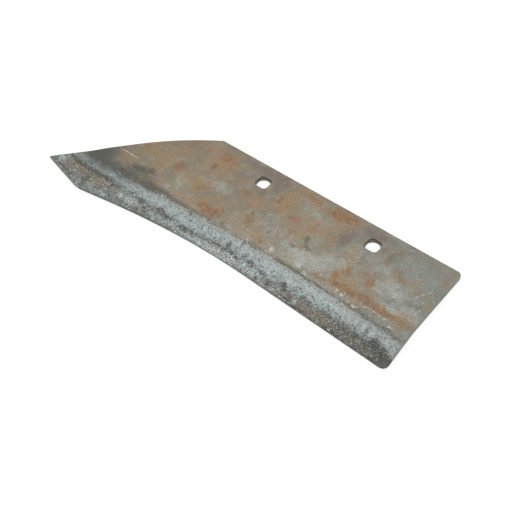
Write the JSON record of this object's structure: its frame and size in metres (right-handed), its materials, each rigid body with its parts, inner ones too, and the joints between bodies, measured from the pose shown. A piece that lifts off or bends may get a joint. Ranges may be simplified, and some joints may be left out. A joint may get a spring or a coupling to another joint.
{
  "type": "plough share",
  "caption": "Forged steel plough share: flat plate with square bolt holes along the rear edge, front strip bent down to a swept cutting edge, nose and pointed landside corner.",
  "frame": {"origin": "midway between the two bolt holes, on the underside that seats on the plough body", "axes": "+X along the straight rear edge towards the square wing end, -Y towards the cutting edge, +Z out of the flat top face; the landside point is at the -X end"},
  "size_m": [0.4426, 0.1449, 0.0153],
  "materials": {
    "forged_steel": "bare forged steel as it left the hammer: grey-brown mill scale with rust patches on the flat, paler pitted scale along the bend, darker scale towards the cutting edge"
  },
  "bodies": {
    "root": {"plough_share": "forged_steel"}
  },
  "joints": []
}
